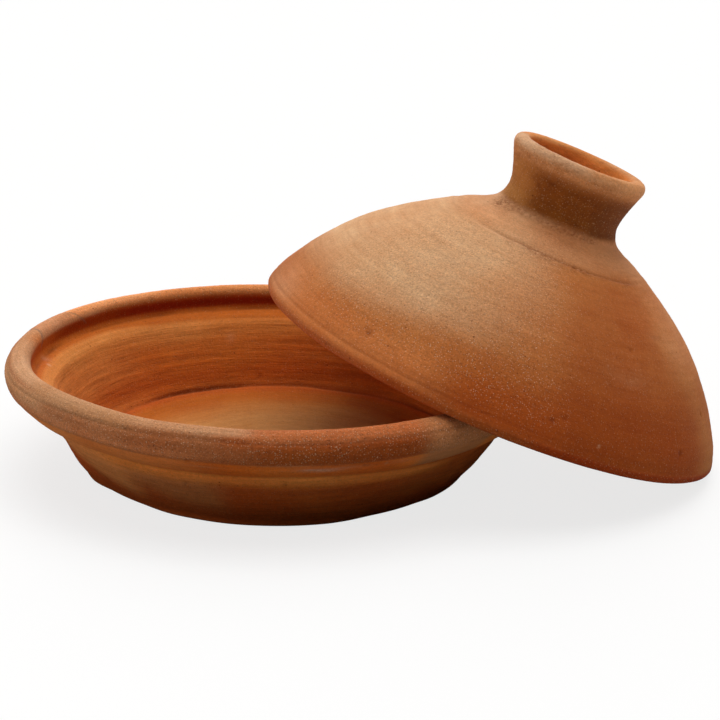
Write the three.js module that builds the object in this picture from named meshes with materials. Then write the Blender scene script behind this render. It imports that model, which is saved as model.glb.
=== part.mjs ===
// Clay tagine: an unglazed terracotta dish and its loose domed lid with a flared, hollow neck.
// The lid leans on the dish's rolled rim, with its lower edge on the table.
// Millimetres, +Z up; the origin is the centre of the dish's underside.
import * as THREE from "three";

const { degToRad } = THREE.MathUtils;

// ---------- faceting ----------
const SEGMENTS = 64; // facets round each piece
const CHORD_ERROR = 0.22; // how far a chord may stray from the smooth section
const SAMPLES_PER_POINT = 16; // curve samples for each listed point, before simplifying

// ---------- dish ----------
const BASE_RADIUS = 101.6; // flat standing face
const ROLL_RADIUS = 150; // outermost radius, on the rolled rim
const RIM_Z = 64.2; // crest of the rolled rim
const ROLL_FOOT_RADIUS = 129.2; // where the wall runs in under the roll
const ROLL_FOOT_Z = 34.6;
const GALLERY_RADIUS = 135.7; // inner face of the roll, which keeps the lid centred
const GALLERY_Z = 50.9; // outer end of the sloping seat for the lid
const FLOOR_Z = 9; // floor thickness at the centre

// ---------- lid, with z = 0 on the plane of its edge ----------
const LID_RADIUS = 134; // outside radius near the edge
const DOME_WALL = 9;
const DOME_TOP_Z = 91.4; // where the dome runs into the neck
const DOME_APEX_Z = 88.6; // inside crown of the dome
const WAIST_RADIUS = 32.45; // narrowest part of the neck
const LIP_RADIUS = 38.75; // flared lip
const LIP_Z = 132.3; // top of the lip
const CUP_FLOOR_Z = 98.8; // closed floor of the hollow neck

// ---------- how the lid rests ----------
const LEAN = degToRad(21.5); // tilt of its axis from upright
const LEAN_HEADING = degToRad(4.8); // direction of that tilt, turned from +X towards +Y
const LEAN_REACH = 118.3; // from the dish's axis to the centre of the lid's edge
const LEAN_Z = 48.25; // height of that centre above the table

const CLAY_COLOUR = { dish: 0xb0642f, lid: 0xb9713f };

// ---------- making a thrown piece ----------
// Keeps the fewest points it can by splitting each chord at the point farthest from it.
function simplify(points, tolerance) {
  const start = points[0];
  const end = points.at(-1);
  const chord = end.clone().sub(start);
  const length = chord.length();
  let farthest = 0;
  let split = 0;
  for (let i = 1; i < points.length - 1; i++) {
    const distance = Math.abs(points[i].clone().sub(start).cross(chord)) / length;
    if (distance > farthest) {
      farthest = distance;
      split = i;
    }
  }
  if (farthest <= tolerance) return [start, end];
  const before = simplify(points.slice(0, split + 1), tolerance);
  const after = simplify(points.slice(split), tolerance);
  return [...before.slice(0, -1), ...after];
}

// Runs a smooth curve through [radius, z] points and cuts it into chords.
function smooth(points) {
  const curve = new THREE.SplineCurve(points.map(([radius, z]) => new THREE.Vector2(radius, z)));
  return simplify(curve.getPoints(points.length * SAMPLES_PER_POINT), CHORD_ERROR);
}

function firedClay(color) {
  return new THREE.MeshStandardMaterial({ color, roughness: 0.92, metalness: 0 });
}

// Turns a section that starts and ends on the axis into a closed body about +Z.
function thrown(name, section) {
  const geometry = new THREE.LatheGeometry(section, SEGMENTS);
  geometry.rotateX(Math.PI / 2); // lathe axis from +Y to +Z
  const mesh = new THREE.Mesh(geometry, firedClay(CLAY_COLOUR[name]));
  mesh.name = name;
  return mesh;
}

// ---------- dish section: [radius, z], from the underside round to the floor ----------
const DISH_PROFILE = [
  // foot and straight flared wall
  [BASE_RADIUS, 0], [104.6, 0.9], [106.6, 3], [115, 14], [122.7, 25],
  // outside of the roll
  [ROLL_FOOT_RADIUS, ROLL_FOOT_Z], [133.6, 36.6], [139, 39.8], [144.6, 44.6], [148.6, 49.6],
  [ROLL_RADIUS, 54], [149.4, 58.4], [146.9, 62], [143.4, 63.9],
  // crest and inner face of the roll
  [140.2, RIM_Z], [137.6, 63], [136, 60.4], [GALLERY_RADIUS, 57.2], [135.9, 54.4], [135.2, 52.2],
  // sloping gallery
  [133.4, GALLERY_Z], [129.6, 49.6], [126.4, 47.9], [124.6, 46],
  // inner wall
  [119, 37.6], [112.4, 27.2], [106.6, 17.9], [103, 13.6],
  // floor
  [99, 11.4], [92, 10], [75, 9.4], [40, 9.1],
];

function makeDish() {
  return thrown("dish", [
    new THREE.Vector2(0, 0),
    ...smooth(DISH_PROFILE),
    new THREE.Vector2(0, FLOOR_Z),
  ]);
}

// ---------- lid section: [radius, z], from the inside crown round to the cup floor ----------
const CROWN_INSIDE = [[0, DOME_APEX_Z], [14, 88.1], [28, 86], [39, 82.9]];

const EDGE = [
  [125, 4.8], [126.3, 1.9], [128.2, 0.35], [130.4, 0], [132.5, 0.8], [LID_RADIUS - 0.3, 2.6],
];

// From just above the edge to the foot of the neck.
const DOME_OUTSIDE = [
  [LID_RADIUS - 0.1, 5], [130.9, 13.2], [125.5, 22.4], [119.5, 31.6], [112.2, 40.8], [104.1, 50],
  [94.3, 59.2], [82.3, 68.4], [68.2, 77.6], [52.6, 86.8], [42.3, DOME_TOP_Z],
];

const NECK_OUTSIDE = [
  [36.5, 95.2], [33.7, 99.4], [WAIST_RADIUS, 104], [32.8, 109.2],
  [34.4, 115.2], [36.5, 121], [38.3, 125.7],
];

const LIP = [
  [LIP_RADIUS, 128.1], [38.2, 130.4], [36.6, 131.9], [34.2, LIP_Z], [31.6, 131.9], [29.7, 130],
];

const CUP_INSIDE = [
  [28.2, 125.6], [26.6, 119], [25.2, 112], [24.2, 106],
  [22.2, 102], [17.5, 99.8], [8, 98.9], [0, CUP_FLOOR_Z],
];

// Moves each point but the first and last in by the wall, square to the line
// between its neighbours, and lists them from the top down.
function domeInside() {
  return DOME_OUTSIDE.slice(1, -1)
    .map(([radius, z], i) => {
      const below = new THREE.Vector2(...DOME_OUTSIDE[i]);
      const above = new THREE.Vector2(...DOME_OUTSIDE[i + 2]);
      const along = above.sub(below).normalize();
      return [radius - along.y * DOME_WALL, z + along.x * DOME_WALL];
    })
    .reverse();
}

function makeLid() {
  return thrown("lid", smooth([
    ...CROWN_INSIDE,
    ...domeInside(),
    ...EDGE,
    ...DOME_OUTSIDE,
    ...NECK_OUTSIDE,
    ...LIP,
    ...CUP_INSIDE,
  ]));
}

// ---------- assembly ----------
function leanLid(lid) {
  const tilted = new THREE.Group();
  tilted.rotation.y = LEAN;
  tilted.add(lid);

  const leaning = new THREE.Group();
  leaning.rotation.z = LEAN_HEADING;
  leaning.position.set(
    LEAN_REACH * Math.cos(LEAN_HEADING),
    LEAN_REACH * Math.sin(LEAN_HEADING),
    LEAN_Z,
  );
  leaning.add(tilted);
  return leaning;
}

const tagine = new THREE.Group();
tagine.add(makeDish(), leanLid(makeLid()));

export default tagine;
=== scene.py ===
import math

import bpy
import numpy as np
from mathutils import Matrix, Vector


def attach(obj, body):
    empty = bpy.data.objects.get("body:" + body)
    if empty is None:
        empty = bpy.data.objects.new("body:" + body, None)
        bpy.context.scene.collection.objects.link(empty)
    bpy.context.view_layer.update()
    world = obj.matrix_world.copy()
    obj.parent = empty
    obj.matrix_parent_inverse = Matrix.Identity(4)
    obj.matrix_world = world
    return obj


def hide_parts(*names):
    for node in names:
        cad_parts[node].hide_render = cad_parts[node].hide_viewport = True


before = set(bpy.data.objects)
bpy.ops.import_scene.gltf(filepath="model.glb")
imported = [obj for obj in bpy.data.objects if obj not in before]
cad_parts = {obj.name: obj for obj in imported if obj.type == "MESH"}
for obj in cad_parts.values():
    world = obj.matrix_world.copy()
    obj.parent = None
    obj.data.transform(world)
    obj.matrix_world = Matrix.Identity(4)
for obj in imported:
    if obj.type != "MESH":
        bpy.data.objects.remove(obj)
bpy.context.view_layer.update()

MM = 0.001
# ring spacing (mm) and most points in a ring
STEP, AROUND = ((0.9, 1024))

# ------------------------------------------------------------------ sections: (radius, height)
# from the edge of the foot, up the outside, over the rim and down the inside
DISH_SECTION = [
    (101.6, 0), (104.6, 0.9), (106.6, 3), (115, 14), (122.7, 25), (129.2, 34.6), (133.6, 36.6),
    (139, 39.8), (144.6, 44.6), (148.6, 49.6), (150, 54), (149.4, 58.4), (146.9, 62),
    (143.4, 63.9), (140.2, 64.2), (137.6, 63), (136, 60.4), (135.7, 57.2), (135.9, 54.4),
    (135.2, 52.2), (133.4, 50.9), (129.6, 49.6), (126.4, 47.9), (124.6, 46), (119, 37.6),
    (112.4, 27.2), (106.6, 17.9), (103, 13.6), (99, 11.4), (92, 10), (75, 9.4), (40, 9.1),
]
DISH_HEIGHT = max(z for _, z in DISH_SECTION)
FLOOR_Z = 9  # the dish's inner floor on the axis

# outside of the lid's dome, from its edge up
DOME = [
    (133.9, 5), (130.9, 13.2), (125.5, 22.4), (119.5, 31.6), (112.2, 40.8), (104.1, 50),
    (94.3, 59.2), (82.3, 68.4), (68.2, 77.6), (52.6, 86.8), (42.3, 91.4),
]
DOME_WALL = 9.0
HOLLOW_TOP = [(0, 88.6), (14, 88.1), (28, 86), (39, 82.9)]
LID_EDGE = [(125, 4.8), (126.3, 1.9), (128.2, 0.35), (130.4, 0), (132.5, 0.8), (133.7, 2.6)]
# outside of the neck, over the lip and down into the cup
NECK = [
    (36.5, 95.2), (33.7, 99.4), (32.45, 104), (32.8, 109.2), (34.4, 115.2), (36.5, 121),
    (38.3, 125.7), (38.75, 128.1), (38.2, 130.4), (36.6, 131.9), (34.2, 132.3), (31.6, 131.9),
    (29.7, 130), (28.2, 125.6), (26.6, 119), (25.2, 112), (24.2, 106), (22.2, 102),
    (17.5, 99.8), (8, 98.9), (0, 98.8),
]
LID_HEIGHT = max(z for _, z in NECK)

# how the lid leans: tilt, the direction it tilts in, and where its origin lies
LEAN = math.radians(21.5)
LEAN_TOWARDS = math.radians(4.8)
LEAN_REACH = 118.3
LEAN_Z = 48.25
# where the lid touches the rim and the floor: (x, y, z), size of the calm patch round it
RIM_TOUCHES = (((88.1, -114.5, 64.1), 16.0), ((68.1, 127.7, 64.0), 16.0))
FLOOR_TOUCH = ((239.3, 20.1, 0.3), 22.0)


def spline(points):
    """The uniform Catmull-Rom curve through the points."""
    points = np.array(points, float)
    last = len(points) - 1
    where = np.linspace(0, 1, len(points) * 40 + 1) * last
    i = np.minimum(np.floor(where).astype(int), last)
    t = (where - i)[:, None]
    before, start = points[np.maximum(i - 1, 0)], points[i]
    end, after = points[np.minimum(i + 1, last)], points[np.minimum(i + 2, last)]
    leave, arrive = (end - before) / 2, (after - start) / 2
    cubic = 2 * start - 2 * end + leave + arrive
    square = -3 * start + 3 * end - 2 * leave - arrive
    return cubic * t**3 + square * t**2 + leave * t + start


def offset_inwards(points, wall):
    """The points but the end ones, moved in by the wall, in reverse order."""
    inner = []
    for k in range(1, len(points) - 1):
        along = np.array(points[k + 1], float) - np.array(points[k - 1], float)
        along /= np.hypot(*along)
        inner.append((points[k][0] - along[1] * wall, points[k][1] + along[0] * wall))
    return inner[::-1]


# ------------------------------------------------------------------ seeded noise
def lattice_hash(x, y, z, seed):
    bits = x * np.uint32(374761393) + y * np.uint32(668265263) + z * np.uint32(2246822519)
    bits = bits + np.uint32((seed * 3266489917) & 0xFFFFFFFF)
    bits = (bits ^ (bits >> np.uint32(15))) * np.uint32(2246822519)
    bits = (bits ^ (bits >> np.uint32(13))) * np.uint32(3266489917)
    return bits ^ (bits >> np.uint32(16))


def noise(points, seed):
    """Gradient noise, about -1 to 1, at the points (n, 3)."""
    floors = np.floor(points)
    cell = floors.astype(np.int64).astype(np.uint32)
    within = points - floors
    fade = within * within * within * (within * (within * 6 - 15) + 10)
    total = np.zeros(len(points))
    for corner in np.ndindex(2, 2, 2):
        bits = lattice_hash(*(cell + np.array(corner, np.uint32)).T, seed)
        weight, dot = 1.0, 0.0
        for axis, side in enumerate(corner):
            ten_bits = (bits >> np.uint32(10 * axis)) & np.uint32(1023)
            gradient = ten_bits.astype(float) / 511.5 - 1
            dot = dot + gradient * (within[:, axis] - side)
            weight = weight * (fade[:, axis] if side else 1 - fade[:, axis])
        total += weight * dot
    return total * 1.35


def layered(points, size, octaves, seed):
    """Octaves of noise, each half the size and strength of the one before."""
    total, strength, norm = 0.0, 1.0, 0.0
    for k in range(octaves):
        total = total + strength * noise(points / size * 2**k, seed + 17 * k)
        norm += strength
        strength *= 0.5
    return total / norm


def smoothstep(start, end, x):
    t = np.clip((x - start) / (end - start), 0, 1)
    return t * t * (3 - 2 * t)


def closeness(points, touches):
    """1 at the touching places, falling off round them."""
    close = np.zeros(len(points))
    for place, size in touches:
        close = np.maximum(close, np.exp(-(((points - np.array(place)) ** 2).sum(1) / size**2)))
    return close


# ------------------------------------------------------------------ a thrown piece
class Surface:
    """The points of a piece, each with its place on the section and round the wheel.

    along is the distance in mm along the section, angle is in degrees (-180 to 180).
    push (mm along the normal), shift (mm, n x 3) and tint (linear RGB) are worked on by the
    pieces. Masks run from 0 to 1.
    """

    def __init__(self, section, step, around):
        travelled = np.r_[0, np.cumsum(np.hypot(*np.diff(section, axis=0).T))]
        last = int(round(travelled[-1] / step))
        self.curve_along = np.linspace(0, travelled[-1], last + 1)
        self.curve = np.stack(
            [np.interp(self.curve_along, travelled, section[:, axis]) for axis in (0, 1)], 1
        )
        tangent = np.gradient(self.curve, axis=0)
        tangent /= np.hypot(*tangent.T)[:, None]

        self.rings = []
        for radius in self.curve[1:last, 0]:
            count = around
            while count > 16 and 2 * math.pi * radius / count < 0.66 * step:
                count //= 2
            self.rings.append(count)
        counts = [1] + self.rings + [1]  # with the points on the axis at both ends
        ring = np.repeat(np.arange(last + 1), counts)
        self.theta = np.concatenate([np.arange(n) * 2 * math.pi / n for n in counts])
        self.radius, self.z = self.curve[ring].T.copy()
        self.along = self.curve_along[ring]
        self.normal_r, self.normal_z = tangent[ring, 1], -tangent[ring, 0]
        self.radius[[0, -1]] = 0.0
        self.normal_r[[0, -1]] = 0.0
        self.cos, self.sin = np.cos(self.theta), np.sin(self.theta)
        self.angle = (np.degrees(self.theta) + 180) % 360 - 180
        self.points = np.stack([self.radius * self.cos, self.radius * self.sin, self.z], 1)
        self.push = np.zeros(len(ring))
        self.shift = np.zeros((len(ring), 3))
        self.tint = np.zeros((len(ring), 3))

    # -------- masks
    def at(self, radius, z):
        """Distance along the section of the point nearest (radius, z)."""
        far = np.hypot(self.curve[:, 0] - radius, self.curve[:, 1] - z)
        return self.curve_along[np.argmin(far)]

    def after(self, start, end, lift=0.0):
        """Rises from start to end along the section."""
        return smoothstep(start, end, self.along + lift)

    def before(self, start, end):
        return 1 - self.after(start, end)

    def zone(self, start, full, fade, end):
        return self.after(start, full) * self.before(fade, end)

    def above(self, start, end, lift=0.0):
        """Rises from height start to height end."""
        return smoothstep(start, end, self.z + lift)

    def below(self, start, end, lift=0.0):
        return 1 - self.above(start, end, lift)

    def line(self, place, width):
        """A soft line round the piece at a distance along the section."""
        return np.exp(-(((self.along - place) / width) ** 2))

    def off(self, angle):
        """Degrees past the angle, -180 to 180."""
        return (self.angle - angle + 180) % 360 - 180

    def arc(self, start, end, soft):
        """1 between two angles, falling to 0 over soft degrees beyond them."""
        half = (end - start) / 2
        return 1 - smoothstep(half, half + soft, np.abs(self.off((start + end) / 2)))

    def spot(self, angle, radius, z, size):
        """A soft ball of a patch."""
        turn = math.radians(angle)
        centre = np.array([radius * math.cos(turn), radius * math.sin(turn), z])
        far = np.sqrt(((self.points - centre) ** 2).sum(1))
        return np.exp(-((far / size) ** 2))

    def blob(self, angle, along, wide, tall):
        """A soft patch: wide in degrees, tall in mm along the section."""
        return np.exp(-((self.off(angle) / wide) ** 2) - ((self.along - along) / tall) ** 2)

    def blobs(self, table):
        """A sum of blobs: (strength, angle, radius, z, wide, tall)."""
        return sum(
            strength * self.blob(angle, self.at(radius, z), wide, tall)
            for strength, angle, radius, z, wide, tall in table
        )

    # -------- patterns, about -1 to 1
    def wheel(self, around, pitch):
        """Noise coordinates: a circle of radius around, and the section in units of pitch."""
        return np.stack([self.cos * around, self.sin * around, self.along / pitch], 1)

    def streaks(self, around, pitch, seed, octaves=2):
        """Noise drawn out round the wheel, as throwing leaves it."""
        base = self.wheel(around, pitch)
        total, strength, norm = 0.0, 1.0, 0.0
        for k in range(octaves):
            stretch = np.array([1.6**k, 1.6**k, 2.1**k])
            total = total + strength * noise(base * stretch, seed + 31 * k)
            norm += strength
            strength *= 0.6
        return total / norm

    def drift(self, around, seed):
        """A slow wander round the wheel, the same all along the section."""
        return noise(self.wheel(around, math.inf), seed)

    # -------- work on the clay
    def throw(self, table):
        """Throwing marks: a zone, then any number of (depth, around, pitch, seed)."""
        for zone, *marks in table:
            for depth, around, pitch, seed in marks:
                self.push += zone * depth * self.streaks(around, pitch, seed)

    def dent(self, table, darkness=0.0):
        """Press in soft dents: (angle, radius, z, size, depth). Gives their shadows."""
        shadow = np.zeros(len(self.push))
        for angle, radius, z, size, depth in table:
            mark = self.spot(angle, radius, z, size)
            self.push -= depth * mark
            shadow = np.maximum(shadow, mark * min(1.0, depth * darkness))
        return shadow

    def spread(self, amount):
        """Move the clay away from the axis."""
        self.shift[:, 0] += amount * self.cos
        self.shift[:, 1] += amount * self.sin

    def paint(self, colour, weight):
        weight = np.clip(weight, 0, 1)[:, None]
        self.tint = self.tint * (1 - weight) + np.array(colour) * weight

    def shade(self, tone, weight):
        """Paint with the colour already there, multiplied by the tone."""
        self.paint(np.array(tone) * self.tint, weight)

    def vary(self, pattern, channels):
        """Lighten and darken by a pattern, by different amounts in red, green and blue."""
        self.tint *= 1 + pattern[:, None] * np.array(channels)

    # -------- mesh
    def faces(self):
        """Corner numbers of all quads and of all triangles, and how the rings join."""
        quads, tris = [], []

        def fan(first, count, tip):
            j = np.arange(count)
            tris.append(np.stack([first + j, first + (j + 1) % count, np.full(count, tip)], 1))

        first = 1
        fan(first, self.rings[0], 0)
        for count, next_count in zip(self.rings, self.rings[1:]):
            next_first = first + count

            def here(k):
                return first + k % count

            def there(k):
                return next_first + k % next_count

            j = np.arange(min(count, next_count))
            if count == next_count:
                quads.append(np.stack([here(j), here(j + 1), there(j + 1), there(j)], 1))
                corners = ()
            elif next_count == 2 * count:
                corners = (
                    (here(j), there(2 * j + 1), there(2 * j)),
                    (here(j), here(j + 1), there(2 * j + 1)),
                    (here(j + 1), there(2 * j + 2), there(2 * j + 1)),
                )
            elif count == 2 * next_count:
                corners = (
                    (here(2 * j), here(2 * j + 1), there(j)),
                    (here(2 * j + 1), there(j + 1), there(j)),
                    (here(2 * j + 1), here(2 * j + 2), there(j + 1)),
                )
            else:
                raise ValueError("ring counts must halve or double")
            tris.extend(np.stack(three, 1) for three in corners)
            first = next_first
        fan(first, self.rings[-1], len(self.theta) - 1)
        return np.concatenate(quads), np.concatenate(tris)

    def solid(self, name, grit, drag, torn, turn=np.eye(3), place=np.zeros(3)):
        """The closed mesh object, turned and placed, with what the material reads."""
        reach = self.radius + self.normal_r * self.push
        height = self.z + self.normal_z * self.push
        own = np.stack([reach * self.cos, reach * self.sin, height], 1) + self.shift
        quads, tris = self.faces()
        loops = np.concatenate([quads.ravel(), tris.ravel()]).astype(np.int32)
        sides = np.concatenate([np.full(len(quads), 4), np.full(len(tris), 3)])

        mesh = bpy.data.meshes.new(name)
        mesh.vertices.add(len(own))
        co = (own @ turn.T + place) * MM
        mesh.vertices.foreach_set("co", co.astype(np.float32).ravel())
        mesh.loops.add(len(loops))
        mesh.loops.foreach_set("vertex_index", loops)
        mesh.polygons.add(len(sides))
        starts = np.r_[0, np.cumsum(sides)[:-1]].astype(np.int32)
        mesh.polygons.foreach_set("loop_start", starts)
        mesh.update(calc_edges=True)
        mesh.validate()
        mesh.polygons.foreach_set("use_smooth", np.ones(len(mesh.polygons), bool))
        attributes = {
            "tint": np.clip(self.tint, 0.0015, 0.92),
            "grit": np.clip(grit, 0, 1),
            "drag": np.clip(drag, 0, 1),
            "spin": self.wheel(12, 1),
            "torn": np.clip(torn, 0, 1),
            "own": own * MM,
        }
        for key, values in attributes.items():
            kind, field = ("FLOAT_VECTOR", "vector") if values.ndim == 2 else ("FLOAT", "value")
            attribute = mesh.attributes.new(key, kind, "POINT")
            attribute.data.foreach_set(field, values.astype(np.float32).ravel())
        mesh.update()
        body = bpy.data.objects.new(name, mesh)
        bpy.context.scene.collection.objects.link(body)
        return body


STREAK_HUE = (0.9, 1.1, 1.3)  # how far streaks vary red, green and blue

# ------------------------------------------------------------------ dish: stations and zones
dish = Surface(np.concatenate([[(0, 0)], spline(DISH_SECTION), [(0, FLOOR_Z)]]), STEP, AROUND)
at = dish.at
base_edge = at(101.6, 0)
foot_turn = at(104.6, 0.9)
foot = at(106.6, 3)
crease = at(129.2, 34.6)  # the roll meets the wall
roll_low = at(133.6, 36.6)
collar = at(139, 39.8)
flank = at(144.6, 44.6)
ledge = at(147.3, 47.7)
bulge = at(149.9, 56.8)
shoulder = at(149.2, 58.9)
rim_top = at(140.2, 64.2)
rim_edge = at(137.6, 63)
throat = at(136, 60.4)  # from here on the surface faces inwards
throat_mid = at(135.7, 57.2)
seat_out = at(135.2, 52.2)
seat_in = at(126.4, 47.9)
bowl_top = at(124.6, 46)
bowl_low = at(103, 13.6)
floor_out = at(92, 10)

wall = dish.zone(foot - 2, foot + 4, crease - 3, crease)
roll = dish.zone(crease, roll_low, throat, throat_mid)
under_roll = dish.zone(crease, roll_low, ledge - 1.5, ledge + 1.5)
low_collar = under_roll * dish.before(crease + 2, collar + 1)
grit_band = dish.zone(ledge - 1, ledge + 2, bulge - 2, bulge + 4)
crest = dish.zone(shoulder - 1, shoulder + 2, rim_edge - 1, throat + 1)
inside = dish.after(throat, throat_mid)
outside = 1 - inside
roll_in = inside * dish.before(seat_out - 1, at(133.4, 50.9))
seat = dish.zone(at(135.9, 54.4), seat_out, seat_in, bowl_top)
inner_wall = dish.zone(seat_in, bowl_top + 2, bowl_low - 2, at(99, 11.4))
floor_in = dish.after(bowl_low, floor_out)
under = dish.before(foot_turn - 2, foot)
axis_fade = smoothstep(2, 14, dish.radius)
front = dish.arc(-165, -20, soft=25)
touch = closeness(dish.points, RIM_TOUCHES)  # kept calm so that nothing cuts in
wander = dish.streaks(1.3, 30, seed=5, octaves=1) * 1.2

# ------------------------------------------------------------------ dish: relief
# throwing rings, then the finer lines of the potter's fingers
dish.throw((
    (wall, (0.18, 1.6, 5.5, 11), (0.08, 3.5, 1.9, 12)),
    (roll, (0.12, 1.8, 4.5, 13), (0.06, 4, 1.8, 14)),
    (inner_wall, (0.24, 1.3, 7.0, 15), (0.12, 2.6, 2.4, 16)),
    (floor_in * axis_fade, (0.16, 1.2, 8.0, 17), (0.06, 2.4, 2.6, 18)),
))
# line under the crest of the roll
top_line = shoulder + 0.6 + 1.1 * dish.drift(1.5, seed=21)
top_mark = (0.35 + 0.65 * front) * dish.line(top_line, 0.75)
dish.push -= 0.46 * top_mark * (1 - under)
dish.push += 0.14 * dish.line(top_line + 2.2, 1.6) * roll
# fine finger lines above it: (radius, z, depth)
FINGER_LINES = (
    (147.9, 60.9, 0.40), (146.2, 62.4, 0.30), (144.2, 63.6, 0.32), (141.6, 64.2, 0.16),
    (138.4, 63.6, 0.20),
)
fingers = np.zeros(len(dish.push))
for k, (radius, z, depth) in enumerate(FINGER_LINES):
    mark = dish.line(at(radius, z) + 0.8 * dish.drift(2.2, seed=60 + k), 0.75)
    mark *= np.clip(0.55 + 0.9 * dish.drift(3.0, seed=70 + k), 0, 1)
    dish.push -= depth * mark
    fingers = np.maximum(fingers, mark * min(1.0, depth * 2.6))
# ledge where the smooth lower band was turned back
ledge_line = ledge + 0.9 * dish.drift(1.8, seed=22)
turned_back = 1 - smoothstep(ledge_line - 0.9, ledge_line + 0.9, dish.along)
dish.push -= 0.30 * roll * turned_back * dish.after(collar - 4, flank)
# crease where the roll meets the wall
crease_mark = dish.line(crease + 0.8 + 0.5 * dish.drift(2.4, seed=27), 1.2)
dish.push -= 0.25 * crease_mark * (
    0.75 + 0.6 * dish.drift(3, seed=23) + 0.6 * dish.arc(-85, -50, soft=10)
)
# seat for the lid: a soft, broken groove at its outer end, another where the inner wall starts
broken = np.clip(0.6 + 0.8 * dish.drift(5.0, seed=28), 0.1, 1.2)
seat_line = at(134.4, 51.4) + 0.7 * dish.drift(3.4, seed=29)
dish.push -= 0.42 * broken * dish.line(seat_line, 1.3)
dish.push -= 0.25 * dish.line(seat_in + 0.5 * wander, 1.4)
dish.push += 0.18 * dish.line(at(123.8, 44.8) + 0.6 * wander, 2.2)
# wavy groove where the wall was worked down into the floor
groove_line = at(101.5, 12.6) + 1.0 * dish.drift(2.6, seed=24) + 0.7 * dish.drift(6, seed=25)
groove_line -= 0.8 * dish.arc(84, 124, soft=14)
groove_depth = 0.55 + 0.45 * dish.drift(3.1, seed=26) + 0.35 * dish.arc(108, 128, soft=10)
groove = dish.line(groove_line, 1.1)
dish.push -= 1.25 * groove_depth * groove
dish.push += 0.25 * dish.line(groove_line + 3.0, 1.6) * inside
# sandy clay: fine tooth everywhere, coarser on the gritty band of the roll
tooth = 0.12 * roll + 0.05 * wall + 0.03 * inside + 0.12 * grit_band + 0.06 * crest
dish.push += tooth * layered(dish.points, 2.4, octaves=2, seed=31)
dish.push += (0.05 * roll + 0.05 * grit_band) * noise(dish.points / 1.15, seed=33)
# slow unevenness from the hand
dish.push += 0.30 * layered(dish.points, 34, octaves=2, seed=35) * (1 - under) * axis_fade
# pits, then fingertip presses on the outer band of the roll: (angle, radius, z, size, depth)
DISH_PITS = (
    (-107.8, 146.7, 46.9, 1.5, 0.8), (-72.5, 145.0, 45.0, 1.2, 0.6), (-95, 149.2, 52, 1.0, 0.4),
    (-64, 149.8, 53.5, 1.1, 0.4), (-121, 149.0, 60.0, 1.2, 0.35), (-112, 124.0, 27.5, 1.5, 0.4),
    (-88, 126.0, 30.0, 1.3, 0.35), (-143, 113.0, 13.6, 2.0, 0.5), (124.3, 136.4, 61.4, 1.8, 0.45),
    (151, 138.4, 63.6, 1.6, 0.4), (96, 106, 17, 1.6, 0.35), (62, 117, 34, 1.8, 0.3),
    (20, 149.6, 52.0, 1.6, 0.6), (35, 146.5, 47.0, 1.4, 0.5), (-5, 121.0, 24.0, 1.7, 0.5),
    (160, 149.4, 51.0, 1.5, 0.5), (110, 125.0, 29.0, 1.6, 0.45), (178, 147.0, 61.6, 1.3, 0.35),
    (48, 149.9, 55.0, 1.2, 0.45), (84, 147.5, 48.0, 1.5, 0.5),
)
PRESSES = (
    (-84, 143.6, 43.6, 7, 0.35), (-52, 149.5, 55, 11, 0.35), (140, 146, 47, 9, 0.4),
    (12, 148, 49, 10, 0.35), (70, 144, 44.5, 8, 0.35),
)
pit_marks = dish.dent(DISH_PITS, darkness=1.6)
dish.dent(PRESSES)
# two smoky seams across the far left of the rim, with a low flap of clay between them
SEAMS = ((166.0, 2.6, 1.2), (150.4, -3.4, -1.4))  # angle, slant, curl
seams = np.zeros(len(dish.push))
across = (dish.along - at(141, 64.1)) / 12.0
for angle, slant, curl in SEAMS:
    degrees_off = dish.angle - angle - slant * across - curl * across**2
    degrees_off -= 0.6 * noise(dish.points / 4.0, seed=51)
    mm_off = np.radians(degrees_off) * 142
    seam = np.exp(-((mm_off / 0.9) ** 2)) * (1 - smoothstep(0.75, 1.05, np.abs(across)))
    seams = np.maximum(seams, seam)
flap = smoothstep(149.5, 152, dish.angle) * (1 - smoothstep(165, 167, dish.angle)) * crest
dish.push += 0.18 * flap - 0.28 * seams
dish.push *= 1 - 0.9 * touch
dish.push -= 0.04 * roll * crest
dish.push *= dish.after(base_edge - 1.5, foot_turn)  # the underside stays flat

# ------------------------------------------------------------------ dish: form
# a little out of round, more so at the foot
up = dish.z / DISH_HEIGHT
theta = dish.theta
oval = 0.45 * np.cos(2 * (theta - 0.7)) + 0.22 * np.cos(3 * (theta + 1.1))
oval = (oval + 0.10 * np.cos(5 * theta)) * up
oval += np.cos(3 * (theta + math.radians(98))) * (1 - smoothstep(0.1, 0.62, up)) * outside
oval += dish.below(11, 25) * outside * (
    2.3 * dish.arc(-196, -160, soft=12) - 0.7 * dish.arc(-138, -116, soft=14)
    - 1.2 * dish.arc(-60, -46, soft=10)
)
oval -= 0.7 * dish.arc(-196, -154, soft=12) * dish.above(9, 15) * dish.below(24, 31) * outside
oval += 1.1 * dish.arc(-34, -14, soft=14) * dish.above(4, 13) * dish.below(20, 34) * outside
oval += dish.line(foot_turn, 3.2) * (
    1.6 * dish.arc(-120, -78, soft=14) + 0.8 * dish.arc(-176, -155, soft=9)
)
far_left = dish.arc(-200, -145, soft=15)
oval += 0.7 * dish.line(crease, 4.0) * far_left
dish.spread(oval * smoothstep(20, 100, dish.radius))
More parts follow.
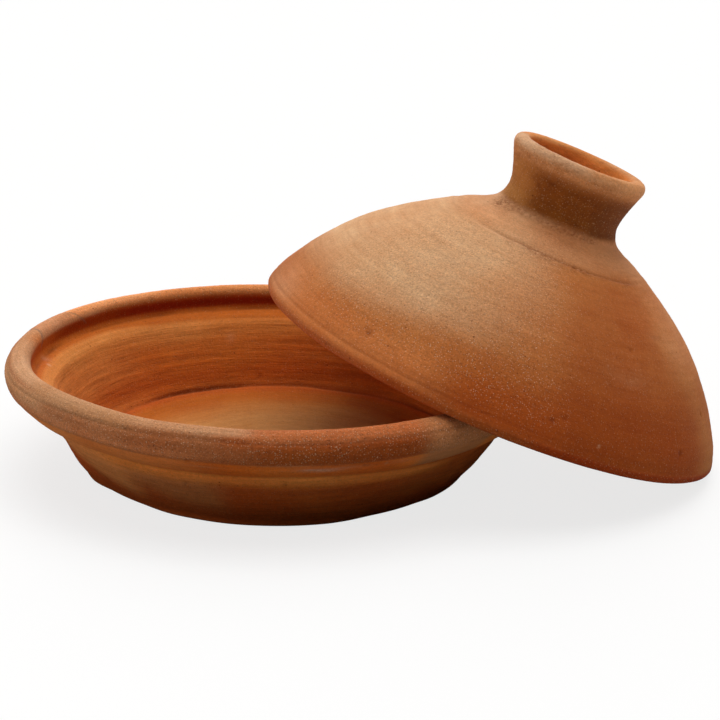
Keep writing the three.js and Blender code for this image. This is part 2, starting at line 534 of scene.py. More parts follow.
# the rim is a little wavy and higher at the left
rise = 0.30 * np.cos(2 * (theta + 0.4)) + 0.22 * np.cos(3 * theta - 0.8)
rise += 0.12 * np.cos(7 * theta) + 1.0 * np.clip(-dish.cos, 0, 1) ** 1.5
rise += 0.7 * dish.arc(78, 138, soft=26) + 1.3 * dish.arc(-145, -135, soft=20)
dish.shift[:, 2] += rise * smoothstep(0.3, 1, up) * smoothstep(80, 130, dish.radius)
dish.shift[:, 2] -= 0.25 * touch
crease_lift = 1.5 * dish.arc(-200, -80, soft=30) + 1.0 * far_left
dish.shift[:, 2] += crease_lift * dish.line(crease, 5.0)
dish.shift *= (1 - 0.85 * touch)[:, None]

# ------------------------------------------------------------------ dish: fired colours, with painted light and shade
dish.tint[:] = (0.55, 0.096, 0.0115)
# wall
dish.paint((0.56, 0.112, 0.016), wall * dish.above(16, 32))
dish.paint((0.54, 0.124, 0.018), 0.8 * wall * dish.arc(-48, 10, soft=16) * dish.above(8, 18))
dish.paint((0.57, 0.195, 0.056), 0.75 * wall * dish.arc(-141, -108, soft=9)
           * dish.above(8, 28, 10 * dish.off(-125) / 17))
# painted light: the left side of the wall made paler and warmer, where light falls from the left
dish.paint((0.66, 0.120, 0.016), 0.9 * wall * dish.arc(-200, -150, soft=4))
dish.paint((0.84, 0.295, 0.080), 0.9 * wall * dish.arc(-200, -134, soft=10)
           * dish.above(13, 25, 0.5 * dish.off(-150)))
# painted light: the top of the wall at the front, just under the crease, made paler where light
# from the floor reaches it
dish.paint((0.88, 0.260, 0.044), 0.9 * wall * dish.above(26, 32) * dish.arc(-130, -56, soft=15))
# painted shade: the foot of the wall at the front made darker, next to the floor
dish.paint((0.45, 0.080, 0.009), 0.9 * wall * dish.below(4, 15) * dish.arc(-122, -62, soft=16))
# roll, with its lower side and the collar just above the crease; the paler paints on these are
# painted light bounced up from the floor
over_roll = roll * (1 - under_roll)
dish.paint((0.48, 0.155, 0.040), roll)
dish.paint((0.43, 0.150, 0.053), over_roll * dish.arc(-190, -98, soft=10))
dish.paint((0.50, 0.122, 0.020), 0.85 * under_roll * dish.arc(-140, -100, soft=14))
# painted light: the roll's underside made paler where light bounces up from the floor
dish.paint((0.78, 0.235, 0.052), 0.85 * under_roll * dish.before(at(147, 47), at(149, 50.5))
           * dish.arc(-152, -112, soft=12))
dish.paint((0.84, 0.280, 0.068), 0.9 * under_roll * dish.before(at(140, 40.6), at(146, 46))
           * dish.arc(-200, -152, soft=12))
dish.paint((0.72, 0.148, 0.0125), 0.9 * under_roll * dish.arc(-98, -60, soft=16))
dish.paint((0.40, 0.075, 0.006), 0.45 * dish.line(ledge + 1.5, 2.6)
           * dish.arc(-102, -66, soft=12))
# painted light: the low collar above the crease made paler, from the same bounced light
dish.paint((0.80, 0.240, 0.046), 0.85 * low_collar * dish.arc(-170, -120, soft=14))
dish.paint((0.88, 0.240, 0.034), 0.8 * under_roll * dish.arc(-56, -20, soft=12))
dish.paint((0.88, 0.195, 0.018), 0.9 * low_collar * dish.arc(-112, -66, soft=14))
dish.paint((0.86, 0.240, 0.036), 0.9 * low_collar * dish.arc(-56, -20, soft=12))
dish.paint((0.38, 0.080, 0.013), over_roll * dish.arc(-97, -58, soft=8))
dish.paint((0.39, 0.112, 0.032), 0.70 * grit_band * dish.arc(-118, -96, soft=8))
dish.paint((0.335, 0.070, 0.0095), 0.85 * grit_band * dish.arc(-90, -58, soft=8))
# crest of the roll
dish.paint((0.60, 0.305, 0.148), dish.arc(-215, -97, soft=9)
           * dish.zone(shoulder + 2.2, shoulder + 6.2, throat + 0.5, throat + 4.5)
           * (0.82 + 0.18 * dish.drift(1.2, seed=61)))
dish.paint((0.60, 0.205, 0.072), 0.8 * dish.line(ledge + 3.5, 3.0)
           * dish.arc(-160, -112, soft=12))
dish.paint((0.49, 0.225, 0.094), 0.75 * crest * dish.arc(-148, -124, soft=7)
           * dish.before(rim_top - 2, rim_edge))
dish.paint((0.60, 0.280, 0.122), 0.85 * roll * dish.before(shoulder + 1, shoulder + 4)
           * (1 - low_collar)
           * (dish.arc(-230, -174, soft=8) + dish.above(50, 57) * dish.arc(-173, -148, soft=6)))
dish.paint((0.50, 0.140, 0.040), crest * dish.arc(-92, -56, soft=7))
dish.paint((0.47, 0.180, 0.064), 0.85 * roll * dish.arc(-57, -44, soft=5))
dish.paint((0.76, 0.265, 0.080), crest * dish.arc(20, 149, soft=8))
dish.paint((0.88, 0.350, 0.130), 0.8 * crest * dish.arc(122, 160, soft=9))
dish.paint((0.56, 0.24, 0.115), 0.7 * flap)
dish.paint((0.66, 0.24, 0.075), 0.9 * dish.blob(170.5, at(136.6, 61.8), wide=3.6, tall=4.5))
# inside of the roll, painted very dark as painted shade under the roll's overhang, less dark at
# the left; and the seat
dish.paint((0.31, 0.030, 0.0016), roll_in)
dish.paint((0.38, 0.062, 0.0014), 0.8 * roll_in * dish.arc(138, 166, soft=9))
dish.paint((0.60, 0.140, 0.013), 0.9 * roll_in * dish.arc(166, 230, soft=12))
dish.paint((0.53, 0.120, 0.0115), seat)
# inner wall, with a paler band along its top that widens at the left: painted light where the top
# of the wall faces up
dish.paint((0.53, 0.116, 0.0105), inner_wall)
dish.paint((0.56, 0.160, 0.031), 0.8 * inner_wall * dish.arc(148, 215, soft=22))
band_rise = 3.4 * dish.arc(142, 205, soft=22)
band = dish.line(at(123.6, 44.6) + wander - band_rise, 7.2)
band *= dish.after(at(128.5, 49.0), at(125.6, 47.2), band_rise)
dish.paint((0.63, 0.188, 0.033), band)
dish.paint((0.68, 0.234, 0.050), 0.9 * band * dish.arc(118, 195, soft=14))
dish.paint((0.57, 0.160, 0.027), 0.55 * inner_wall
           * np.clip(dish.streaks(1.4, 9, seed=62) * 1.6, 0, 1))
dish.paint((0.45, 0.078, 0.0045), 0.8 * inner_wall * dish.line(at(107.6, 19.5) + wander, 7.5))
# floor, paler towards the middle except on the side under the lid, which is left darker as
# painted shadow of the lid; and the underside
tide = 6 * dish.drift(1.1, seed=63)
dish.paint((0.450, 0.106, 0.0085), floor_in)
dish.paint((0.49, 0.165, 0.034), floor_in * dish.after(floor_out + 2, at(75, 9.4) + 6, tide))
dish.paint((0.52, 0.225, 0.062), 0.85 * floor_in * dish.after(at(72, 9.4), at(48, 9.1), tide)
           * (1 - 0.8 * smoothstep(-10, 50, dish.points[:, 0])))
dish.paint((0.55, 0.18, 0.06), under)
# large soft clouds of redder and paler clay
dish.vary(0.30 * layered(dish.points, 55, octaves=3, seed=64), (0.35, 0.9, 1.4))
# streaks drawn out round the wheel, broad and thin
broad = 0.16 * inner_wall + 0.06 * roll + 0.07 * wall + 0.08 * floor_in
dish.vary(broad * dish.streaks(1.5, 6.5, seed=41), STREAK_HUE)
thin = 0.12 * inner_wall + 0.07 * roll + 0.05 * wall + 0.04 * floor_in
dish.vary(thin * dish.streaks(3.0, 2.2, seed=42), STREAK_HUE)
# shadowed lines, pits and seams
dark = 1.05 * groove * np.clip(groove_depth + 0.15, 0, 1.2) * inside
dark += 0.30 * dish.line(groove_line - 2.6, 2.6) * np.clip(groove_depth, 0, 1) * inside
dark += 0.50 * fingers * front
dark += (0.55 * inside * dish.blob(119, bowl_low + 0.8, wide=8, tall=2.2)
         * np.clip(0.7 + 0.8 * noise(dish.points / 3.0, seed=52), 0, 1))
dark += 0.75 * broken * dish.line(seat_line, 1.2) + 0.14 * crease_mark
dark += 0.55 * top_mark + 0.7 * pit_marks
dark += 0.7 * dish.blob(-76.5, at(129.5, 34.5) + 0.5, wide=2.6, tall=0.9)
dark += 0.5 * dish.spot(-71.6, 145.0, 45.0, 1.3)
dish.shade((0.47, 0.42, 0.38), dark)
dish.paint((0.20, 0.13, 0.10), 0.62 * seams)
# chalky flakes (strength, angle, radius, z, wide, tall), scuffs and one upright scratch
flakes = dish.blobs((
    (0.75, -82.5, 143.0, 43.0, 4.6, 1.5), (0.35, -79, 144.4, 44.4, 6.0, 2.6),
    (0.25, -64, 145, 45, 3.0, 2.0), (0.30, -89, 146.8, 47.0, 6.0, 0.7),
    (0.25, -105, 143.5, 43.6, 4.0, 0.8),
))
flakes *= np.clip(0.55 + 0.9 * dish.streaks(9, 1.6, seed=65), 0, 1.1)
scuffs = 0.45 * dish.spot(173.0, 129.3, 49.5, 1.3) + 0.20 * dish.spot(170.1, 132.6, 50.7, 3.0)
scuffs += 0.10 * dish.spot(104, 120, 38, 3)
scratch_off = np.abs(dish.along - at(145.2, 45.2))
scuffs += (0.30 * np.exp(-(((dish.angle + 67.7) / 0.22) ** 2))
           * (1 - smoothstep(1.2, 2.2, scratch_off)))
dish.paint((0.66, 0.42, 0.28), np.clip(flakes + scuffs, 0, 0.85))

dish_body = dish.solid(
    "dish_clay_body",
    grit=0.55 * roll + 0.45 * grit_band + 0.25 * crest + 0.14 * inside + 0.18 * wall
    + 0.35 * crest * dish.arc(-93, -58, soft=8) - 0.35 * under_roll,
    drag=0.35 + 0.65 * inner_wall + 0.25 * wall - 0.1 * floor_in,
    torn=flakes + 0.5 * groove * np.clip(groove_depth - 0.5, 0, 1) * inside,
)

# ------------------------------------------------------------------ lid: stations and zones
lid_section = HOLLOW_TOP + offset_inwards(DOME, DOME_WALL) + LID_EDGE + DOME + NECK
lid = Surface(spline(lid_section), STEP, AROUND)
at = lid.at
edge_in = at(125, 4.8)
edge_out = at(133.7, 2.6)
dome_top = at(42.3, 91.4)
neck_top = at(38.3, 125.7)
lip_out = at(38.75, 128.1)
lip_in = at(31.6, 131.9)
cup_edge = at(29.7, 130)

dome = lid.zone(edge_out - 1, edge_out + 5, dome_top, at(36.5, 95.2))
neck = lid.zone(at(35.2, 96.8), at(33.1, 101), neck_top, lip_out)
lip = lid.zone(at(36.5, 121), neck_top, lip_in, cup_edge)
cup = lid.after(lip_in, cup_edge + 1)
hollow = lid.before(edge_in - 6, edge_in)
edge = lid.zone(edge_in - 2, edge_in + 3, edge_out + 1, edge_out + 4)
axis_fade = smoothstep(2, 14, lid.radius)

lean_cos, lean_sin = math.cos(LEAN), math.sin(LEAN)
way_cos, way_sin = math.cos(LEAN_TOWARDS), math.sin(LEAN_TOWARDS)
heading = np.array([[way_cos, -way_sin, 0], [way_sin, way_cos, 0], [0, 0, 1]])
tilt = np.array([[lean_cos, 0, lean_sin], [0, 1, 0], [-lean_sin, 0, lean_cos]])
lid_turn = heading @ tilt
lid_place = np.array([LEAN_REACH * way_cos, LEAN_REACH * way_sin, LEAN_Z])
touch = closeness(lid.points @ lid_turn.T + lid_place, RIM_TOUCHES + (FLOOR_TOUCH,))
wander = lid.streaks(1.3, 40, seed=105, octaves=1) * 1.6

# ------------------------------------------------------------------ lid: relief
lid.throw((
    (dome, (0.16, 1.4, 9.0, 111), (0.06, 3.0, 2.6, 112)),
    (neck, (0.16, 1.8, 4.2, 113), (0.08, 3.0, 1.8, 114)),
    (cup * axis_fade, (0.16, 1.4, 4.5, 115), (0.07, 2.6, 1.8, 116)),
    (hollow * axis_fade, (0.35, 1.2, 8.0, 117), (0.12, 2.4, 2.8, 118)),
))
# turned band round the foot of the neck, and the ridge that ends it, torn and crumbly in places
ridge = at(58.5, 83.4) + 1.6 * lid.drift(1.9, seed=121) + 0.6 * lid.drift(7, seed=122)
strong = 0.30 + 0.70 * lid.arc(-128, -48, soft=16)
torn = np.clip(0.15 + 1.0 * lid.drift(6.0, seed=119), 0, 1) * strong
crumb = 1.4 * np.abs(noise(lid.points / np.array((2.3, 2.3, 1.7)), seed=125)) - 0.40
crumb += 0.6 * noise(lid.points / 1.3, seed=129)
lid.push -= 0.72 * strong * lid.line(ridge + 1.2, 1.5) * dome
lid.push += 0.46 * strong * lid.line(ridge - 1.8, 1.9) * dome
lid.push -= 0.30 * strong * lid.zone(ridge, ridge + 4, dome_top - 4, dome_top + 2)
ridge_crumbs = torn * lid.line(ridge - 0.2, 2.2) * dome
lid.push += 0.95 * ridge_crumbs * crumb
# broken lines round the dome: (radius, z, depth)
DOME_LINES = (
    (50.5, 87.8, 0.20), (46.5, 89.8, 0.16), (54.5, 85.8, 0.14), (66.0, 79.2, 0.12),
    (76.0, 72.8, 0.10), (88.0, 64.1, 0.10),
)
for k, (radius, z, depth) in enumerate(DOME_LINES):
    gaps = np.clip(lid.streaks(2.0, 60, seed=130 + k, octaves=1) + 0.4, 0, 1)
    lid.push -= depth * lid.line(at(radius, z) + 0.7 * wander, 0.9) * dome * (0.3 + 0.7 * gaps)
# seam where the neck was luted on: a broken groove, crumbs of clay below it, heavier in places
seam = at(34.2, 98.6) + 1.0 * lid.drift(3.2, seed=123) + 0.5 * lid.drift(9, seed=120)
rough = 0.30 + 0.8 * lid.drift(3.7, seed=124) + 0.75 * lid.arc(-165, -72, soft=18)
rough = np.clip(rough, 0, 1)
seam_groove = rough * lid.line(seam + 0.3, 0.95)
seam_crumbs = rough * lid.line(seam - 2.2, 2.3)
lid.push -= 0.40 * seam_groove * (0.6 + 0.8 * lid.drift(14, seed=134))
lid.push += 0.85 * seam_crumbs * crumb
patch = np.clip(lid.blobs((
    (1.0, -163, 37.4, 94.6, 13, 3.6), (0.8, -104, 58.5, 83.4, 8, 2.8),
    (0.6, -79, 59, 83.2, 6, 2.4), (0.6, 70, 37, 95, 16, 3.0),
)), 0, 1)
lid.push += 1.05 * patch * crumb
crumbly = np.clip(seam_crumbs + patch + ridge_crumbs, 0, 1)
# spalled skin on the lip, in strips, and small nicks in it
flake = lid.streaks(7, 1.5, seed=127) + 0.4 * noise(lid.points / 1.4, seed=137)
spall = 0.15 + 0.8 * lid.drift(3.2, seed=126) + 0.6 * lid.arc(-165, -70, soft=20)
spall = lip * np.clip(spall, 0, 1)
lid.push += 0.42 * spall * np.clip(flake, -0.5, 0.5)
# nicks, pits and dents: (angle, radius, z, size, depth)
NICKS = (
    (-4, 36.5, 131.9, 1.4, 0.6), (6, 34.2, 132.3, 1.2, 0.5), (100, 29.2, 128.3, 1.6, 0.35),
    (52, 29.7, 130, 1.5, 0.4), (160, 36, 132.1, 1.6, 0.4),
)
LID_PITS = (
    (-136.1, 127.9, 18.5, 1.7, 0.8), (-137.4, 127.0, 20.0, 1.1, 0.5),
    (-87.6, 128.4, 17.7, 1.5, 0.7), (-84.8, 127.0, 20.0, 1.2, 0.45),
    (-47.1, 128.9, 16.8, 1.7, 0.7), (-47.8, 130.2, 14.4, 1.1, 0.35),
    (-63.9, 95.8, 57.9, 1.0, 0.6), (-86, 58.1, 83.7, 1.2, 0.5), (-94.1, 91.6, 61.4, 1.2, 0.35),
    (-108.4, 103.4, 50.7, 1.2, 0.3), (-150, 80, 69.9, 1.1, 0.3), (-116, 117.4, 34.3, 1.1, 0.35),
    (-73, 112, 41, 1.1, 0.35), (-30, 118, 33.5, 1.4, 0.5), (15, 122, 28, 1.8, 0.6),
    (40, 104, 50, 1.4, 0.5), (62, 128, 18.4, 1.7, 0.55), (95, 88, 64.2, 1.3, 0.5),
    (120, 118, 33.5, 1.6, 0.5), (150, 126, 21.6, 1.5, 0.5), (172, 100, 54, 1.2, 0.35),
    (80, 46, 90, 1.3, 0.5), (-120, 34.9, 117, 1.2, 0.4), (-134, 33.6, 113.6, 1.5, 0.5),
    (-75, 33, 111, 1.3, 0.35), (30, 34, 115, 1.4, 0.45), (140, 33, 111, 1.4, 0.45),
)
DENTS = (
    (-128, 118, 33.6, 14, 0.35), (20, 110, 43, 16, 0.4), (100, 122, 28, 15, 0.4),
    (175, 90, 62, 14, 0.3),
)
lid.dent(NICKS)
pit_marks = lid.dent(LID_PITS, darkness=1.4)
lid.dent(DENTS)
# turned lines just above the lid's edge, stronger on one side
edge_line = at(132.8, 8.8) + 0.9 * lid.drift(1.4, seed=128)
side = 0.22 + 0.78 * lid.arc(-178, -112, soft=26)
for offset, height, width in (
    (0, -0.30, 0.75), (-2.4, 0.16, 1.5), (3.2, -0.16, 0.8), (6.0, -0.10, 0.8),
):
    lid.push += height * side * lid.line(edge_line + offset, width)
# sandy clay, and slow unevenness from the hand
tooth = 0.08 * dome + 0.07 * neck + 0.06 * edge + 0.03 * cup + 0.05 * hollow
lid.push += tooth * layered(lid.points, 2.3, octaves=2, seed=131)
lid.push += 0.07 * neck * noise(lid.points / 1.5, seed=136)
lid.push += 0.05 * dome * noise(lid.points / 1.15, seed=133)
lid.push += 0.35 * layered(lid.points, 38, octaves=2, seed=135) * axis_fade
# a short scratch, as a row of spots
scratch = np.zeros(len(lid.push))
for k in range(7):
    mark = lid.spot(-50.7 + k * 1.1, 86.3 + 0.15 * k, 65.4 - 0.1 * k, 0.9)
    scratch = np.maximum(scratch, mark)
lid.push -= 0.22 * scratch
lid.push *= 1 - 0.92 * touch

# ------------------------------------------------------------------ lid: form
low_down = 1 - np.clip(lid.z / LID_HEIGHT, 0, 1)
oval = 0.40 * np.cos(2 * (lid.theta - 0.2)) + 0.20 * np.cos(3 * (lid.theta + 0.6))
lid.spread(oval * low_down * smoothstep(20, 110, lid.radius))
lid.shift *= (1 - 0.9 * touch)[:, None]
# the neck stands a little askew on the dome
askew = lid.after(edge_out, dome_top)
sideways = np.interp(lid.z, [90, 100, 108, 118, 130], [0, 0.39, 0.31, -0.10, -0.35])
lid.shift[:, 0] += sideways * askew
lid.shift[:, 2] += np.interp(lid.z, [112, 128], [0, 0.55]) * askew

# ------------------------------------------------------------------ lid: fired colours, with painted light and shade
sway = 9 * lid.drift(1.3, seed=161) + 7 * noise(lid.wheel(2, 30), seed=162)
swayed = lid.angle + sway
buff_side = 1 - (smoothstep(-134, -86, lid.angle + 0.9 * sway)
                 * (1 - smoothstep(62, 112, swayed)))
warm_side = 1 - smoothstep(-66, -32, swayed) * (1 - smoothstep(60, 110, swayed))
lid.tint[:] = (0.51, 0.178, 0.056)
# dome
lid.paint((0.43, 0.136, 0.031), lid.below(40, 62, 0.3 * sway))
lid.paint((0.465, 0.138, 0.031), 0.9 * warm_side * lid.above(14, 52, 0.35 * sway))
lid.paint((0.41, 0.108, 0.022), 0.95 * lid.arc(-80, -52, soft=15)
          * lid.below(66, 84, 0.3 * sway))
buff_drop = 0.18 * np.clip(lid.angle + 150, 0, 90) * (lid.angle < 0)
lid.paint((0.63, 0.332, 0.156), buff_side * lid.above(20, 46, 0.4 * sway - buff_drop))
lid.paint((0.58, 0.240, 0.095), 0.8 * lid.after(at(64, 80.2), at(48, 89))
          * (1 - 0.35 * buff_side))
# redder towards the edge, with a flush at the left
low = lid.below(12, 34, 0.3 * sway)
lid.paint((0.56, 0.165, 0.040), 0.95 * low * lid.arc(-172, -122, soft=14))
lid.paint((0.37, 0.062, 0.0045), 0.95 * lid.below(12, 42, 0.3 * sway)
          * lid.arc(-106, -50, soft=18))
lid.paint((0.31, 0.055, 0.0045), 0.85 * lid.below(24, 66, 0.4 * sway)
          * lid.arc(-78, -42, soft=15))
lid.paint((0.50, 0.14, 0.040), 0.5 * low * lid.arc(10, 160, soft=30))
lid.paint((0.64, 0.33, 0.165), 0.4 * dome * lid.blob(-173, at(131.5, 11.5), wide=10, tall=12))
lid.paint((0.45, 0.110, 0.024), edge)
# painted shade: the edge made darker at the front
lid.paint((0.33, 0.042, 0.0022), edge * lid.arc(-98, -20, soft=16))
lid.paint((0.36, 0.075, 0.010), 0.85 * edge * lid.arc(-136, -98, soft=14))
lid.paint((0.50, 0.150, 0.045), 0.4 * edge * lid.arc(-200, -140, soft=20))
# neck, paler towards the lip, with a painted highlight round its foot
lid.paint((0.22, 0.057, 0.0047), neck)
lid.paint((0.185, 0.050, 0.0082), neck * lid.arc(-62, 40, soft=20))
lid.paint((0.46, 0.170, 0.040), 0.9 * neck * lid.arc(-235, -158, soft=34))
lid.paint((0.48, 0.175, 0.055), 0.85 * neck * lid.after(at(35, 117), neck_top))
# painted light: a paler band round the foot of the neck, where the fillet catches the light
lid.paint((0.58, 0.210, 0.060), neck * lid.line(at(38.2, 93.9), 3.2))
# lip and the hollows
lip_top = lid.zone(lip_out - 2.2, at(38.2, 130.4) + 0.4, lip_in, cup_edge + 1)
lid.paint((0.55, 0.225, 0.080), lip)
lid.paint((0.66, 0.365, 0.195), lip_top * lid.arc(-245, -100, soft=30))
lid.paint((0.66, 0.285, 0.110), lip_top * lid.arc(-82, 40, soft=30))
lid.paint((0.70, 0.235, 0.055), 0.9 * lip_top * lid.arc(62, 150, soft=20))
lid.paint((0.70, 0.228, 0.047), cup)
lid.paint((0.53, 0.135, 0.020), 0.85 * cup * lid.arc(95, 215, soft=30))
lid.paint((0.60, 0.19, 0.055), hollow)
# clouds, then broad and thin streaks
lid.vary(0.25 * layered(lid.points, 48, octaves=3, seed=163), (0.3, 0.9, 1.5))
lid.vary(0.13 * layered(lid.wheel(26, 1), 13, octaves=3, seed=164), (0.5, 1.1, 1.6))
broad = 0.07 * dome + 0.12 * neck + 0.12 * cup + 0.12 * hollow
lid.vary(broad * lid.streaks(1.6, 7, seed=141), STREAK_HUE)
thin = 0.05 * dome + 0.10 * neck + 0.08 * cup + 0.08 * hollow + 0.12 * edge
lid.vary(thin * lid.streaks(3.2, 2.4, seed=142), STREAK_HUE)
# painted shade in the seam groove, under the ridge, in pits, the scratch, crumb gaps, the edge
# lines and spall gaps; random darker patches on the neck
dark = 0.25 * seam_groove + 0.60 * strong * lid.line(ridge + 1.0, 1.2) * dome
dark += 0.8 * pit_marks + 0.35 * scratch
dark += 0.9 * np.clip(-crumb * 1.6, 0, 1) * crumbly
dark += side * (0.35 * lid.line(edge_line, 0.8) + 0.22 * lid.line(edge_line + 3.2, 0.8))
dark += 0.5 * spall * np.clip(-flake * 2.0, 0, 1)
dark += 0.25 * neck * np.clip(noise(lid.points / 5.0, seed=165) * 2 - 0.4, 0, 1)
lid.shade((0.54, 0.42, 0.34), dark)
# pale crumbs, flakes and scuffs
pale = 0.36 * np.clip(crumb * 1.4, 0, 1) * crumbly + 0.35 * spall * np.clip(flake * 2, 0, 1)
pale += 0.6 * lid.spot(-74.8, 131.0, 12.8, 0.8)
pale += 0.10 * lid.blob(-47.5, at(86.8, 65.1), wide=5.0, tall=4.0)
pale += (0.16 * lid.blob(-66, at(108, 46), wide=7, tall=7)
         * np.clip(0.5 + lid.streaks(8, 4, seed=166), 0, 1))
lid.paint((0.66, 0.35, 0.17), np.clip(pale, 0, 0.85))

gritty = lid.arc(-150, -100, soft=22) * lid.above(6, 24) * (1 - 0.5 * lid.above(72, 88))
lid_body = lid.solid(
    "lid_clay_body",
    grit=dome * (0.20 + 0.66 * gritty) + 0.36 * neck + 0.4 * edge + 0.35 * lip
    + 0.15 * hollow + 0.1 * cup,
    drag=0.30 + 0.10 * neck + 0.3 * hollow + 0.2 * cup,
    torn=0.50 * seam_crumbs + 0.9 * patch + 0.9 * ridge_crumbs + 0.30 * spall,
    turn=lid_turn,
    place=lid_place,
)


# ------------------------------------------------------------------ node helper
class Nodes:
    """Short names for building the node tree of a material or world."""

    def __init__(self, block):
        block.use_nodes = True
        self.tree = block.node_tree
        self.tree.nodes.clear()

    def make(self, kind, inputs, **settings):
        """A node with its settings, and its inputs linked or given values."""
        node = self.tree.nodes.new("ShaderNode" + kind)
        for key, value in settings.items():
            setattr(node, key, value)
        for key, value in inputs.items():
            if isinstance(value, bpy.types.NodeSocket):
                self.tree.links.new(value, node.inputs[key])
            else:
                node.inputs[key].default_value = value
        return node

    def shader(self, kind, **inputs):
        return self.make(kind, inputs).outputs[0]

    def blend(self, factor, first, second):
        """A mix of two shaders."""
        return self.make("MixShader", {0: factor, 1: first, 2: second}).outputs[0]

    def math(self, operation, a, b, clamp=False):
        node = self.make("Math", {0: a, 1: b}, operation=operation, use_clamp=clamp)
        return node.outputs[0]

    def add(self, a, b, clamp=False):
        return self.math("ADD", a, b, clamp)

    def multiply(self, a, b):
        return self.math("MULTIPLY", a, b)

    def linear(self, value, slope, base):
        return self.add(self.multiply(value, slope), base)

    def swing(self, value, amount):
        """A 0 to 1 value, centred on 0 and scaled."""
        return self.multiply(self.math("SUBTRACT", value, 0.5), amount)

    def attribute(self, name, output="Fac"):
        return self.make("Attribute", {}, attribute_name=name).outputs[output]

    def scaled(self, vector, x, y, z):
        node = self.make("VectorMath", {0: vector, 1: (x, y, z)}, operation="MULTIPLY")
        return node.outputs[0]

    def noise(self, vector, scale, detail, rough, distortion=0.0):
        inputs = {"Vector": vector, "Scale": scale, "Detail": detail, "Roughness": rough}
        return self.make("TexNoise", {**inputs, "Distortion": distortion}).outputs["Fac"]

    def cells(self, vector, scale):
        """Distance to the nearest cell's middle, and a random number for the cell."""
        cell = self.make("TexVoronoi", {"Vector": vector, "Scale": scale})
        split = self.make("SeparateColor", {0: cell.outputs["Color"]})
        return cell.outputs["Distance"], split.outputs[0]

    def span(self, value, start, end, low=0.0, high=1.0, kind="SMOOTHSTEP"):
        inputs = {"Value": value, "From Min": start, "From Max": end}
        inputs.update({"To Min": low, "To Max": high})
        return self.make("MapRange", inputs, interpolation_type=kind).outputs["Result"]

    def mix(self, factor, first, second, kind="MIX"):
        """A mix of two colours; inputs 6 and 7 and output 2 are the colour sockets."""
        node = self.make(
            "Mix", {}, data_type="RGBA", blend_type=kind, clamp_factor=True
        )
        for number, value in ((0, factor), (6, first), (7, second)):
            if isinstance(value, bpy.types.NodeSocket):
                self.tree.links.new(value, node.inputs[number])
            else:
                node.inputs[number].default_value = value
        return node.outputs[2]

    def darken(self, weight, colour, tone):
        """The colour, multiplied by the tone where the weight is 1."""
        return self.mix(weight, colour, self.mix(1.0, colour, tone, "MULTIPLY"))


